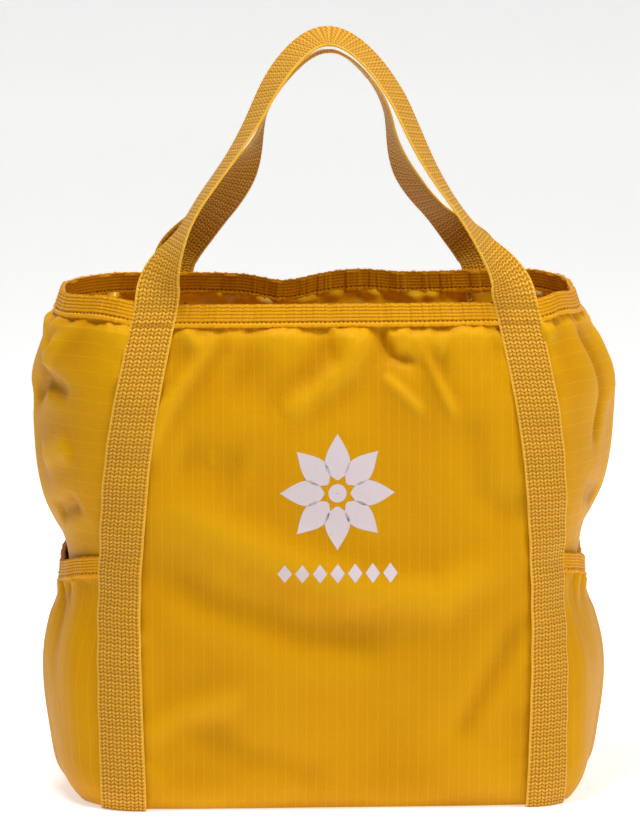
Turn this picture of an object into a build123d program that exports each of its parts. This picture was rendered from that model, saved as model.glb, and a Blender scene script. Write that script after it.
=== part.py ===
"""Foldable tote bag: light shell, webbing handles, elastic mouth and two side pockets.

Frame: millimetres, +Z up, origin at the middle of the base's underside. The front panel
faces -Y and the left gusset is on -X. The bag stands open with both handles up.
"""

import math
import os

from build123d import *

# Driving dimensions
bag_height = 346.0  # base to the fabric's top edge
fabric = 1.0  # lined ripstop panel, with its coating
webbing_width = 30.0
webbing_thick = 1.4
elastic_height = 15.0  # every gathered elastic edge
elastic_thick = 0.8
pocket_height = 172.0
front_handle_top = 527.0  # middle of the webbing at the crown of the loop
back_handle_top = 515.0

gap = 0.3  # clearance between neighbouring soft layers
seam_gap = 0.15  # half the clearance along a sewn seam
seam_allowance = 9.0  # turned edge left outside, under the webbing
seam_layer = 0.85
foot_z = 4.0  # the turned edges and the pockets start above the base's rounded foot

# The filled bag's outline, level by level: height, half width, half depth, corner radius
levels = (
    (0.0, 167.0, 64.0, 34.0),
    (10.0, 174.0, 69.0, 42.0),
    (40.0, 181.0, 73.0, 54.0),
    (100.0, 183.0, 75.0, 62.0),
    (172.0, 176.0, 74.5, 62.0),
    (215.0, 189.0, 76.0, 66.0),
    (260.0, 194.0, 76.5, 68.0),
    (305.0, 194.0, 72.0, 62.0),
    (350.0, 181.0, 61.0, 50.0),
)
rim_z = bag_height + 2.0  # top of the folded elastic
leg_layer = elastic_thick + 2 * gap  # the webbing lies over the elastic and the seam
front_rim_x = 122.0  # middle of a front strap at the rim
back_rim_x = 109.0
rim_half_depth = 61.6  # the outline's half depth at the rim

# Stow pouch, sewn to the inside of the front panel
pouch_width = 160.0
pouch_height = 125.0
pouch_thick = 0.8
pouch_layer = 1.9  # the pouch hangs this far behind the panel's outer face

# Its zip
zip_z = 250.0
zip_length = 144.0
zip_half_depth = 76.7  # the front panel's outer face at the zip
tape_height = 12.0
tape_gap = 3.8  # between the two tapes, bridged by the teeth
tape_end = 6.0  # tape left past each end of the zip
tape_layer = 3.2
tape_thick = 0.5
tooth_pitch = 3.0
tooth_width = 1.2
tooth_length = 2.6
tooth_reach = 1.8  # from the zip's middle line back to a tooth's root
tooth_thick = 1.4
zip_y = -(zip_half_depth - tape_layer - tape_thick / 2)  # middle of the zip
slider_length = 11.0
slider_height = 7.6
slider_start = -zip_length / 2 - 1.0  # closed at the left end

far = 400.0  # reach of the cutting prisms, past the whole bag

os.makedirs("parts", exist_ok=True)


def ease(u):
    """Smooth step from 0 at u = 0 to 1 at u = 1."""
    u = min(max(u, 0.0), 1.0)
    return u * u * (3 - 2 * u)


def flush(z):
    """The fabric's own outer face."""
    return 0.0


def pocket_bulge(z):
    """How far a side pocket's outer face stands off the gusset at a height."""
    lift, flare, belly = 1.6, 1.6, 4.4
    u = min(z / pocket_height, 1.0)
    return lift + flare * u + belly * math.sin(math.pi * u)


def solid_loft(outline, offset, mode=Mode.ADD):
    """Add or cut the bag's outline, grown by outline(z) + offset."""
    sections = []
    for z, half_width, half_depth, corner in levels:
        grow = outline(z) + offset
        with BuildSketch(Plane.XY.offset(z)) as section:
            RectangleRounded(2 * (half_width + grow), 2 * (half_depth + grow), corner + grow)
        sections.append(section.sketch)
    loft(sections, mode=mode)


def layer(outline, inner, outer, z_low, z_high):
    """Add one fabric layer, between two offsets from an outline and between two heights."""
    solid_loft(outline, outer)
    solid_loft(outline, inner, Mode.SUBTRACT)
    split(bisect_by=Plane.XY.offset(z_low), keep=Keep.TOP)
    split(bisect_by=Plane.XY.offset(z_high), keep=Keep.BOTTOM)


def strap_line(rim_x, shift=0.0):
    """Points down a strap's middle on the right side, as (x, z), moved outward by shift."""
    middle = (
        (145.0, -10.0),
        (146.5, 60.0),
        (147.0, 110.0),
        (145.5, 170.0),
        (142.0, 240.0),
        (rim_x + 12.0, 295.0),
        (rim_x, rim_z + 2.0),
    )
    return [(x + shift, z) for x, z in middle]


def zone_between(left, right, amount, mode):
    """Extrude the zone between two upward lines of (x, z) points along Y (positive to the front)."""
    with BuildSketch(Plane.XZ) as zone:
        with BuildLine():
            Spline(*right)
            Line(right[-1], left[-1])
            Spline(*reversed(left))
            Line(left[0], right[0])
        make_face()
    extrude(zone.sketch, amount=amount, mode=mode)


def mirrored(points):
    return [(-x, z) for x, z in points]


def keep_centre(rim_x, shift, amount):
    """Keep what lies between the two straps' lines, on one side of the bag."""
    edge = strap_line(rim_x, shift)
    zone_between(mirrored(edge), edge, amount, Mode.INTERSECT)


def cut_centre(rim_x, shift, amount):
    edge = strap_line(rim_x, shift)
    zone_between(mirrored(edge), edge, amount, Mode.SUBTRACT)


def keep_side(side, shift):
    """Keep one side of the bag, outside the front and back strap lines moved by shift."""
    cut_centre(front_rim_x, shift, far)
    cut_centre(back_rim_x, shift, -far)
    split(bisect_by=Plane.YZ, keep=Keep.TOP if side > 0 else Keep.BOTTOM)


def keep_strap(rim_x, side, amount):
    """Keep one strap's width, around the strap's middle line."""
    inner_edge = strap_line(rim_x, -webbing_width / 2)
    outer_edge = strap_line(rim_x, webbing_width / 2)
    if side < 0:
        inner_edge, outer_edge = mirrored(outer_edge), mirrored(inner_edge)
    zone_between(inner_edge, outer_edge, amount, Mode.INTERSECT)


def write(part, name):
    part.label = name
    export_step(part, f"parts/{name}.step")


# Layers that the sewn pieces are cut from

with BuildPart() as fabric_layer:
    layer(flush, -fabric, 0.0, gap, bag_height)

with BuildPart() as allowance_layer:
    layer(flush, 0.0, seam_layer, foot_z, rim_z - elastic_height - 1.0)

with BuildPart() as webbing_layer:
    layer(flush, leg_layer, leg_layer + webbing_thick, gap, rim_z)

with BuildPart() as mouth_outer_layer:
    layer(flush, gap, gap + elastic_thick, rim_z - elastic_height, rim_z)

with BuildPart() as mouth_inner_layer:
    layer(flush, -fabric - gap - elastic_thick, -fabric - gap, rim_z - elastic_height, rim_z)

with BuildPart() as mouth_fold_layer:
    fold_inner = -fabric - gap - elastic_thick / 2
    layer(flush, fold_inner, gap + elastic_thick / 2, rim_z - elastic_thick, rim_z)

# Front and back panels, each with turned edges under the straps


def wide_panel(rim_x, amount):
    """One wide panel and its turned edges."""
    with BuildPart() as edges:
        add(allowance_layer.part)
        keep_centre(rim_x, -seam_gap, amount)
        cut_centre(rim_x, -seam_allowance, amount)
    with BuildPart() as panel:
        add(fabric_layer.part)
        keep_centre(rim_x, -seam_gap, amount)
        add(edges.part)
    return panel.part


write(wide_panel(front_rim_x, far), "front_panel")
write(wide_panel(back_rim_x, -far), "back_panel")

# Side gussets, with their own turned edges


def gusset(side):
    """One gusset; its turned edges are what the seam allowance leaves of the layer outside it."""
    with BuildPart() as past_edges:
        add(allowance_layer.part)
        keep_side(side, seam_allowance)
    with BuildPart() as edges:
        add(allowance_layer.part)
        keep_side(side, seam_gap)
        add(past_edges.part, mode=Mode.SUBTRACT)
    with BuildPart() as panel:
        add(fabric_layer.part)
        keep_side(side, seam_gap)
        add(edges.part)
    return panel.part


for side, side_name in ((-1, "left"), (1, "right")):
    write(gusset(side), f"{side_name}_gusset")

# Base panel, inside the walls' foot

_, foot_half_width, foot_half_depth, foot_corner = levels[0]
base_inset = fabric + gap
base_thick = 1.2

with BuildPart() as base_panel:
    with BuildSketch(Plane.XY):
        RectangleRounded(
            2 * (foot_half_width - base_inset), 2 * (foot_half_depth - base_inset), foot_corner - base_inset
        )
    extrude(amount=base_thick)
write(base_panel.part, "base_panel")

# Gathered elastic around the mouth, folded over the fabric's top edge, one run per panel

with BuildPart() as mouth_elastic:
    add(mouth_outer_layer.part)
    add(mouth_inner_layer.part)
    add(mouth_fold_layer.part)

with BuildPart() as mouth_elastic_front:
    add(mouth_elastic.part)
    keep_centre(front_rim_x, -seam_gap, far)
write(mouth_elastic_front.part, "mouth_elastic_front")

with BuildPart() as mouth_elastic_back:
    add(mouth_elastic.part)
    keep_centre(back_rim_x, -seam_gap, -far)
write(mouth_elastic_back.part, "mouth_elastic_back")

for side, side_name in ((-1, "left"), (1, "right")):
    with BuildPart() as mouth_elastic_side:
        add(mouth_elastic.part)
        keep_side(side, seam_gap)
    write(mouth_elastic_side.part, f"mouth_elastic_{side_name}")

# Straps sewn over the four seams, and the bar tacks that hold them at the rim

bar_tack_z = rim_z - 9.0
bar_tack_height = 2.4
bar_tack_width = 25.0
bar_tack_base = leg_layer + webbing_thick + 0.1
bar_tack_thick = 0.6

with BuildPart() as tack_layer:
    tack_low = bar_tack_z - bar_tack_height / 2
    tack_face = bar_tack_base + bar_tack_thick
    layer(flush, bar_tack_base, tack_face, tack_low, tack_low + bar_tack_height)


def bar_tacks(rim_x, amount):
    """The two rows of dense stitches across one panel's straps."""
    with BuildPart() as tacks:
        add(tack_layer.part)
        keep_centre(rim_x, bar_tack_width / 2, amount)
        cut_centre(rim_x, -bar_tack_width / 2, amount)
    return tacks.part


for face, rim_x, amount in (("front", front_rim_x, far), ("back", back_rim_x, -far)):
    for side, side_name in ((-1, "left"), (1, "right")):
        with BuildPart() as strap:
            add(webbing_layer.part)
            keep_strap(rim_x, side, amount)
        write(strap.part, f"{face}_{side_name}_strap")
    write(bar_tacks(rim_x, amount), f"{face}_bar_tacks")

# Handles: each loop leaves the rim flat, leans over the mouth and turns on its side

rim_y = rim_half_depth + leg_layer + webbing_thick / 2  # middle of the webbing at the rim
handle_foot_z = rim_z + 1.0
handle_rise = 6.0  # the webbing leaves the rim straight up
handle_steps = 40
lean_power = 2.2  # the loop stands up first and leans over near its crown
front_crown_y = 5.0
back_crown_y = 7.0
# The middle of each loop's right leg, as (x, z)
front_arch = ((118.5, 371.0), (106.5, 395.0), (93.0, 418.0), (74.5, 443.0), (52.5, 475.0), (32.0, 507.0))
back_arch = ((106.0, 363.0), (94.0, 379.0), (69.0, 408.0), (55.0, 435.0), (43.0, 467.0), (24.0, 499.0))


def front_turn(u, side):
    """How far the front loop has turned about its own length, in degrees, at a height share."""
    crown = 74.0
    leg = 84.0 if side < 0 else 66.0
    return leg * ease(u / 0.5) + (crown - leg) * ease((u - 0.65) / 0.35)


def back_turn(u, side):
    """The same for the back loop, whose two legs turn alike."""
    return 45.0 * ease((u - 0.04) / 0.26) + 40.0 * ease((u - 0.5) / 0.3)


def handle(side_y, rim_x, arch, top_z, crown_y, turn):
    """A flat loop of webbing: short straight lofts between rectangles along its line."""

    def height_share(z):
        return (z - handle_foot_z) / (top_z - handle_foot_z)

    def lean(z):
        return side_y * (rim_y - (rim_y - crown_y) * height_share(z) ** lean_power)

    right = [(rim_x, handle_foot_z), (rim_x, handle_foot_z + handle_rise), *arch]
    left = [(-x, z) for x, z in right]
    line_points = [(x, lean(z), z) for x, z in [*left, (0.0, top_z), *reversed(right)]]
    with BuildLine() as middle:
        Spline(*line_points)
    path = middle.line
    sections = []
    for step in range(handle_steps + 1):
        share = step / handle_steps
        here = path @ share
        along = Vector(0, 0, 1 if share < 0.5 else -1)
        if 0 < step < handle_steps:
            along = path % share
        flat = Vector(0, 1, 0).cross(along).normalized()
        edgewise = along.cross(flat).normalized()
        angle = math.radians(turn(height_share(here.Z), here.X))
        across = flat * math.cos(angle) + edgewise * math.sin(angle) * side_y
        with BuildSketch(Plane(origin=here, x_dir=across, z_dir=along)) as section:
            Rectangle(webbing_width, webbing_thick)
        sections.append(section.sketch)
    with BuildPart() as loop:
        loft(sections, ruled=True)
    return loop.part


front_loop = handle(-1, front_rim_x, front_arch, front_handle_top, front_crown_y, front_turn)
write(front_loop, "front_handle")
back_loop = handle(1, back_rim_x, back_arch, back_handle_top, back_crown_y, back_turn)
write(back_loop, "back_handle")

# Side pockets: a gathered panel over each gusset, with its own elastic

pocket_edge = webbing_width / 2 + 1.5  # the pockets stop just short of the straps
pocket_top_z = pocket_height + 2.0  # top of the folded elastic

with BuildPart() as pocket_layer:
    layer(pocket_bulge, -fabric, 0.0, foot_z, pocket_height)

with BuildPart() as pocket_elastic_layer:
    layer(pocket_bulge, gap, gap + elastic_thick, pocket_top_z - elastic_height, pocket_top_z)

with BuildPart() as pocket_fold_layer:
    fold_outer = gap + elastic_thick / 2
    layer(pocket_bulge, -fabric, fold_outer, pocket_top_z - elastic_thick, pocket_top_z)

for side, side_name in ((-1, "left"), (1, "right")):
    with BuildPart() as pocket:
        add(pocket_layer.part)
        keep_side(side, pocket_edge)
    write(pocket.part, f"{side_name}_pocket")
    with BuildPart() as pocket_elastic:
        add(pocket_elastic_layer.part)
        add(pocket_fold_layer.part)
        keep_side(side, pocket_edge)
    write(pocket_elastic.part, f"{side_name}_pocket_elastic")

# Printed motif: an eight petal rosette over a row of lozenges

print_lift = 0.05
print_thick = 0.25
rosette_z = 225.0
rosette_radius = 39.0
petals = 8
lozenge_z = 170.0
lozenge_side = 7.0
lozenges = 7
lozenge_pitch = 12.0
motif_low = lozenge_z - 20.0
motif_high = rosette_z + 50.0

with BuildPart() as printed_motif:
    layer(flush, print_lift, print_lift + print_thick, motif_low, motif_high)
    with BuildSketch(Plane.XZ) as motif:
        with Locations((0, rosette_z)):
            with PolarLocations(rosette_radius * 0.62, petals):
                Ellipse(rosette_radius * 0.36, rosette_radius * 0.2)
            Circle(rosette_radius * 0.18)
        with Locations((0, lozenge_z)):
            with GridLocations(lozenge_pitch, 1, lozenges, 1):
                Rectangle(lozenge_side, lozenge_side, rotation=45)
    extrude(motif.sketch, amount=far, mode=Mode.INTERSECT)
write(printed_motif.part, "printed_motif")

# Stow pouch: a patch on the front panel's inside, closed by a zip

pouch_top_z = zip_z - slider_height / 2 - 0.7  # clear of the slider

with BuildPart() as stow_pouch:
    pouch_low_z = pouch_top_z - pouch_height
    layer(flush, -pouch_layer - pouch_thick, -pouch_layer, pouch_low_z, pouch_top_z)
    with BuildSketch(Plane.XZ) as pouch_patch:
        Rectangle(pouch_width, 2 * bag_height)
    extrude(pouch_patch.sketch, amount=far, mode=Mode.INTERSECT)
write(stow_pouch.part, "stow_pouch")

zip_plane = Plane.XZ.offset(-zip_y)  # the zip's middle plane; its normal points to the front

with BuildPart() as zip_tapes:
    with BuildSketch(zip_plane):
        with Locations((0, zip_z)):
            Rectangle(zip_length + 2 * tape_end, 2 * tape_height + tape_gap)
            Rectangle(zip_length + 2 * tape_end, tape_gap, mode=Mode.SUBTRACT)
    extrude(amount=tape_thick / 2, both=True)
write(zip_tapes.part, "zip_tapes")

with BuildPart() as zip_teeth:
    teeth_per_side = round(zip_length / tooth_pitch)
    for half, shift in ((1, -tooth_pitch / 4), (-1, tooth_pitch / 4)):
        with BuildSketch(zip_plane):
            with Locations((shift, zip_z + half * (tooth_reach - tooth_length / 2))):
                with GridLocations(tooth_pitch, 1, teeth_per_side, 1):
                    Rectangle(tooth_width, tooth_length)
    extrude(amount=tooth_thick / 2, both=True)
write(zip_teeth.part, "zip_teeth")

with BuildPart() as zip_stops:
    stop_x = zip_length / 2 + 9.0
    with BuildSketch(zip_plane):
        with Locations((-stop_x, zip_z), (stop_x, zip_z)):
            Rectangle(2.0, 3.4)
    extrude(amount=0.8, both=True)
write(zip_stops.part, "zip_stops")

slider_gap = 0.95  # half the channel that the teeth run in
slider_plate = 0.8
slider_half = slider_gap + slider_plate
bridge_length = 2.0
bridge_height = 1.2
lug_length = 5.2
lug_depth = 3.4
lug_half_height = 1.0
pull_pivot_y = zip_y + slider_half + 1.6

with BuildPart() as zip_slider:
    with BuildSketch(zip_plane):
        with Locations((slider_start, zip_z)):
            RectangleRounded(slider_length, slider_height, 2.4)
    extrude(amount=slider_half, both=True)
    with BuildSketch(zip_plane):
        with Locations((slider_start, zip_z)):
            Rectangle(slider_length + 2.0, slider_height + 2.0)
    extrude(amount=slider_gap, both=True, mode=Mode.SUBTRACT)
    with BuildSketch(zip_plane):
        with Locations((slider_start - slider_length / 2 + 1.6, zip_z)):
            Rectangle(bridge_length, bridge_height)
    extrude(amount=slider_gap + 0.2, both=True)
    with BuildSketch(Plane.XY.offset(zip_z)):
        with Locations((slider_start, pull_pivot_y - 0.1)):
            RectangleRounded(lug_length, lug_depth, 0.9)
        with Locations((slider_start, pull_pivot_y)):
            Circle(0.85, mode=Mode.SUBTRACT)
    extrude(amount=lug_half_height, both=True)
write(zip_slider.part, "zip_slider")

# Pull tab: a pin through the slider's lug, two arms and a flat tab

pull_arm_width = 1.3
pull_width = 6.4
pull_length = 22.0
pull_thick = 1.0
pull_overhang = 0.7  # the arms reach this far past the pin
pull_window = 5.1  # the opening between the arms, clear of the lug
pull_hole_radius = 1.5
pin_radius = 0.5

with BuildPart() as zip_pull:
    with BuildSketch(Plane.XZ.offset(-pull_pivot_y - pull_thick / 2)):
        with Locations((slider_start - pull_overhang, zip_z)):
            Rectangle(pull_length, pull_width, align=(Align.MIN, Align.CENTER))
            Rectangle(
                pull_window,
                pull_width - 2 * pull_arm_width,
                align=(Align.MIN, Align.CENTER),
                mode=Mode.SUBTRACT,
            )
        with Locations((slider_start + pull_length - 4.5, zip_z)):
            Circle(pull_hole_radius, mode=Mode.SUBTRACT)
    extrude(amount=pull_thick)
    with BuildSketch(Plane.XY.offset(zip_z)):
        with Locations((slider_start, pull_pivot_y)):
            Circle(pin_radius)
    extrude(amount=pull_width / 2 - 0.2, both=True)
write(zip_pull.part, "zip_pull")
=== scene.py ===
"""Foldable tote bag: ripstop body, gathered elastic edges, webbing straps and handles.

Everything is in metres, in the CAD frame: +Z up, the front panel faces -Y, the left side is -X.
"""

import math

import bpy
import numpy as np
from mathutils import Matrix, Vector


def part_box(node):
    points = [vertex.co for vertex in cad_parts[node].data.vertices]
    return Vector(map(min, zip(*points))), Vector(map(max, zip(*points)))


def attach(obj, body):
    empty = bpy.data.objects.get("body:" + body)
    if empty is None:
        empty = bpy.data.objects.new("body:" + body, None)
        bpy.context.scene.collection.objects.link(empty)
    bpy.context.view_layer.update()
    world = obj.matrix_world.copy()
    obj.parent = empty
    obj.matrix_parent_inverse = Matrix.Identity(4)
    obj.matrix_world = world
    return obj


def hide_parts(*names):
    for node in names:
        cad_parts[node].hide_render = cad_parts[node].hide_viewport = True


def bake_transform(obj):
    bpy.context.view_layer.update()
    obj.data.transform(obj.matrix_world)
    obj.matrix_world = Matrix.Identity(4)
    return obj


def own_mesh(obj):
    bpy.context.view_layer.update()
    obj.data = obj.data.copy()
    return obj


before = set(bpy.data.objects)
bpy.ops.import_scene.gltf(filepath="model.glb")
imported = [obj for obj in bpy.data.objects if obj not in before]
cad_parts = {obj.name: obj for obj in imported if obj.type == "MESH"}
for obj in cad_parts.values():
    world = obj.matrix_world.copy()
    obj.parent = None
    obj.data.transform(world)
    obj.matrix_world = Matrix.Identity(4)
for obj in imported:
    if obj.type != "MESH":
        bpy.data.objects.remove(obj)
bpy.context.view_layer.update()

rng = np.random.default_rng(41)

# Sizes that the pieces share

MM = 0.001
RIM_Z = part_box("mouth_elastic_front")[1][2]
ELASTIC = RIM_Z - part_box("mouth_elastic_front")[0][2]
POCKET_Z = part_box("left_pocket")[1][2]
CORDS = 5
CORD_SHARE = 0.74  # the cords' share of a band; a stitch line and a smooth lip lie below them
ZIP_LOW, ZIP_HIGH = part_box("zip_tapes")
ZIP_Z = (ZIP_LOW[2] + ZIP_HIGH[2]) / 2
CLOTH = 0.6 * MM
POCKET_HANG = 7 * MM
WEBBING = 30 * MM
WEBBING_THICK = 1.4 * MM
STRAP_LIFT = 1.6 * MM  # the straps lie over the turned seam edges
FRONT_RIM_X = 122 * MM
BACK_RIM_X = 109 * MM
SWAY = 7 * MM  # the filled bag bulges more on its left than on its right
RIM_RISE = 5.5 * MM  # the filled bag's gathered rim stands a little above its seams

# The filled bag's outline, level by level: height, half width, half depth, corner radius
LEVELS = MM * np.array(
    (
        (0, 167, 64, 34),
        (10, 174, 69, 42),
        (40, 181, 73, 54),
        (100, 183, 75, 62),
        (172, 176, 74.5, 62),
        (215, 189, 76, 66),
        (260, 194, 76.5, 68),
        (305, 194, 72, 62),
        (350, 181, 61, 50),
    )
)
# A strap's middle line down the right side: height and distance from the centre
STRAP_LEVELS = MM * np.array(((-10, 145), (60, 146.5), (110, 147), (170, 145.5), (240, 142)))


# Curves


def natural_cubic(x, y, at):
    """A natural cubic spline through (x, y), read at other places; y may have columns."""
    x, y, at = np.asarray(x, float), np.asarray(y, float), np.asarray(at, float)
    h = np.diff(x)
    n = len(x)
    system = np.eye(n)
    right = np.zeros(y.shape)
    for i in range(1, n - 1):
        system[i, i - 1 : i + 2] = h[i - 1], 2 * (h[i - 1] + h[i]), h[i]
        right[i] = 6 * ((y[i + 1] - y[i]) / h[i] - (y[i] - y[i - 1]) / h[i - 1])
    bend = np.linalg.solve(system, right)
    k = np.clip(np.searchsorted(x, at) - 1, 0, n - 2)
    a, b, step = x[k + 1] - at, at - x[k], h[k]
    if y.ndim > 1:
        a, b, step = a[..., None], b[..., None], step[..., None]
    return (
        (bend[k] * a**3 + bend[k + 1] * b**3) / (6 * step)
        + (y[k] / step - bend[k] * step / 6) * a
        + (y[k + 1] / step - bend[k + 1] * step / 6) * b
    )


def run_along(points):
    """Distance along a line at each of its points."""
    return np.concatenate([[0], np.cumsum(np.linalg.norm(np.diff(points, axis=0), axis=1))])


def unit(vectors):
    """The same directions, 1 long."""
    return vectors / np.linalg.norm(vectors, axis=-1, keepdims=True)


def ease(u):
    """A smooth step from 0 to 1."""
    u = np.clip(u, 0, 1)
    return u * u * (3 - 2 * u)


def outline(z):
    """Half width, half depth and corner radius at each height."""
    values = natural_cubic(LEVELS[:, 0], LEVELS[:, 1:], z)
    return values[..., 0], values[..., 1], values[..., 2]


def strap_x(z, rim_x):
    """A strap's distance from the centre at each height."""
    line = np.vstack([STRAP_LEVELS, [[295 * MM, rim_x + 12 * MM], [350 * MM, rim_x]]])
    return natural_cubic(line[:, 0], line[:, 1], z)


def sway(y, half_depth):
    """How far the body leans to the left at a depth: nothing at the front and back panels."""
    return SWAY * (1 - np.clip(y / half_depth, -1, 1) ** 2)


def half_round(z):
    """How far it is round the body from the front's middle to the back's."""
    half_width, half_depth, r = outline(z)
    return 2 * (half_width - r) + math.pi * r + 2 * (half_depth - r)


def around(z, s):
    """The smooth body at height z, a distance s round it from the front's middle."""
    half_width, half_depth, r = outline(z)
    side = np.where(s < 0, -1.0, 1.0)
    a = np.abs(s)
    past_back = a > half_round(z)
    a = np.where(past_back, 2 * half_round(z) - a, a)
    side = np.where(past_back, -side, side)
    flat = half_width - r
    arc = r * math.pi / 2
    deep = 2 * (half_depth - r)
    t1 = np.clip((a - flat) / r, 0, math.pi / 2)
    t2 = np.clip((a - flat - arc - deep) / r, 0, math.pi / 2)
    x = np.minimum(a, flat) + r * np.sin(t1) - r * (1 - np.cos(t2))
    x = x - np.maximum(a - flat - 2 * arc - deep, 0)
    y = -half_depth + r * (1 - np.cos(t1)) + np.clip(a - flat - arc, 0, deep) + r * np.sin(t2)
    pull = np.where(side < 0, 5 * MM, 12 * MM) * ease((x - 138 * MM) / (34 * MM))
    x = x - pull * ease((z - 280 * MM) / (60 * MM))
    return np.stack([side * x - sway(y, half_depth), y, z + 0 * s], -1)


def seam_reach(z, rim_x):
    """How far round the body a seam is, from the middle of its own panel."""
    half_width, _, r = outline(z)
    x = strap_x(z, rim_x)
    over = np.clip((x - (half_width - r)) / r, 0, 1)
    return np.where(x < half_width - r, x, half_width - r + r * np.arcsin(over))


def seam_front(z):
    """How far round the body the front seam is, from the front's middle."""
    return seam_reach(z, FRONT_RIM_X)


def seam_back(z):
    """How far round the body the back seam is, from the front's middle."""
    return half_round(z) - seam_reach(z, BACK_RIM_X)


def outward(points):
    """Unit normals of a grid whose rows go up and whose columns go right, seen from outside."""
    up = np.gradient(points, axis=0)
    right = np.gradient(points, axis=1)
    normal = np.cross(right, up)
    return normal / np.maximum(np.linalg.norm(normal, axis=-1, keepdims=True), 1e-12)


# Folds in the ripstop

WAVES = [
    (rng.uniform(0.6, 1.0), rng.uniform(0, 2 * math.pi), rng.uniform(20, 60), rng.uniform(-25, 25))
    for _ in range(14)
]


def slow_waves(s, z):
    """A gentle, irregular unevenness between -1 and 1, as limp fabric has."""
    total = np.zeros(np.broadcast(s, z).shape)
    for size, phase, across, along in WAVES:
        total = total + size * np.sin(across * s + along * z + phase)
    return total / 5


def gathers(s, depth, seed, pitch, reach):
    """Small pleats that hang from an elastic edge and die out with depth below it."""
    local = np.random.default_rng(seed)
    places = np.arange(-0.6, 0.6, pitch)
    places = places + local.uniform(-0.35, 0.35, len(places)) * pitch
    total = np.zeros(np.broadcast(s, depth).shape)
    for place in places:
        length = reach * local.uniform(0.5, 1.7)
        width = pitch * local.uniform(0.16, 0.3)
        lean = local.uniform(-0.35, 0.35)
        height = local.uniform(0.5, 1.0)
        spread = width * (1 + 2.0 * np.clip(depth, 0, None) / length)
        across = (s - place - lean * depth) / spread
        total = total - height * np.exp(-(across**2)) * np.exp(-np.clip(depth, 0, None) / length)
    return total


def fold(s, z, points, width, depth):
    """One soft ridge (or valley, with a depth below 0) along a line of points on the fabric."""
    points = np.array(points) * MM
    steps = np.diff(points, axis=0)
    lengths = np.linalg.norm(steps, axis=1)
    starts = np.concatenate([[0], np.cumsum(lengths)])
    nearest = np.full(np.broadcast(s, z).shape, np.inf)
    place = np.zeros(nearest.shape)
    for (x0, z0), (dx, dz), length, start in zip(points, steps, lengths, starts):
        u = np.clip(((s - x0) * dx + (z - z0) * dz) / length**2, 0, 1)
        distance = np.hypot(s - x0 - u * dx, z - z0 - u * dz)
        closer = distance < nearest
        nearest = np.where(closer, distance, nearest)
        place = np.where(closer, start + u * length, place)
    share = place / starts[-1]
    fade = ease(share / 0.3 + 0.25) * ease((1 - share) / 0.3 + 0.25)
    return depth * MM * fade * np.exp(-((nearest / (width * MM)) ** 2))


# Meshes


def link(name, data):
    """A new object of the scene, for a mesh, a light or a camera."""
    obj = bpy.data.objects.new(name, data)
    bpy.context.scene.collection.objects.link(obj)
    return obj


def new_object(name, vertices, faces, flat, smooth=55):
    """A mesh object with the fabric's flattened coordinates in the attribute 'flat', in metres."""
    mesh = bpy.data.meshes.new(name)
    mesh.from_pydata(vertices.reshape(-1, 3).tolist(), [], faces)
    layer = mesh.attributes.new("flat", "FLOAT_VECTOR", "POINT")
    padded = np.zeros((len(mesh.vertices), 3), np.float32)
    padded[:, : flat.shape[-1]] = flat.reshape(-1, flat.shape[-1])
    layer.data.foreach_set("vector", padded.ravel())
    mesh.polygons.foreach_set("use_smooth", np.ones(len(mesh.polygons), bool))
    mesh.set_sharp_from_angle(angle=math.radians(smooth))
    mesh.update()
    return link(name, mesh)


def grid_faces(rows, columns, start=0, flip=False):
    """The quads of a grid of vertices."""
    i, j = np.meshgrid(np.arange(rows - 1), np.arange(columns - 1), indexing="ij")
    a = (start + i * columns + j).ravel()
    quads = np.stack([a, a + 1, a + columns + 1, a + columns], -1)
    return (quads[:, ::-1] if flip else quads).tolist()


def sheet(name, points, flat, thick=CLOTH, inner=None):
    """A closed piece of cloth from its outside face, a grid seen from outside."""
    rows, columns = points.shape[:2]
    inside = points - outward(points) * thick
    count = rows * columns
    vertices = np.concatenate([points.reshape(-1, 3), inside.reshape(-1, 3)])
    faces = grid_faces(rows, columns)
    outer_count = len(faces)
    faces += grid_faces(rows, columns, count, flip=True)
    border = list(range(columns))
    border += [i * columns + columns - 1 for i in range(1, rows)]
    border += [(rows - 1) * columns + j for j in range(columns - 2, -1, -1)]
    border += [i * columns for i in range(rows - 2, 0, -1)]
    for here, after in zip(border, border[1:] + border[:1]):
        faces.append((after, here, here + count, after + count))
    both = np.concatenate([flat.reshape(-1, 2), flat.reshape(-1, 2)])
    obj = new_object(name, vertices, faces, both)
    if inner is not None:
        obj["inner_from"] = outer_count
    return obj


def tube(name, points, flat):
    """A closed bar from its cross-sections: rows run round the section, columns along it."""
    around_count, columns = points.shape[:2]
    faces = []
    for i in range(around_count):
        after = (i + 1) % around_count
        for j in range(columns - 1):
            a, b = i * columns + j, after * columns + j
            faces.append((a, a + 1, b + 1, b))
    faces.append([i * columns for i in range(around_count)])
    faces.append([i * columns + columns - 1 for i in range(around_count - 1, -1, -1)])
    return new_object(name, points, faces, flat)


def paint(obj, *materials):
    """Gives a piece its material, and a sheet's inside the second one."""
    obj.data.materials.clear()
    for material in materials:
        obj.data.materials.append(material)
    if "inner_from" in obj:
        index = np.zeros(len(obj.data.polygons), np.int32)
        start = obj["inner_from"]
        index[start : 2 * start] = 1
        obj.data.polygons.foreach_set("material_index", index)
        del obj["inner_from"]
    return obj


def flatten_to(obj):
    """Gives the piece its own copy of its mesh."""
    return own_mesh(obj)


def stand_in(obj, node):
    """The piece shows in place of a CAD node, which it hides."""
    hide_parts(node)
    return obj


def sew_to(obj, face, node):
    """The piece stands in for a node and moves with the front or back body."""
    stand_in(obj, node)
    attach(obj, f"{face}_body")
    return flatten_to(obj)


# Materials


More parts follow.
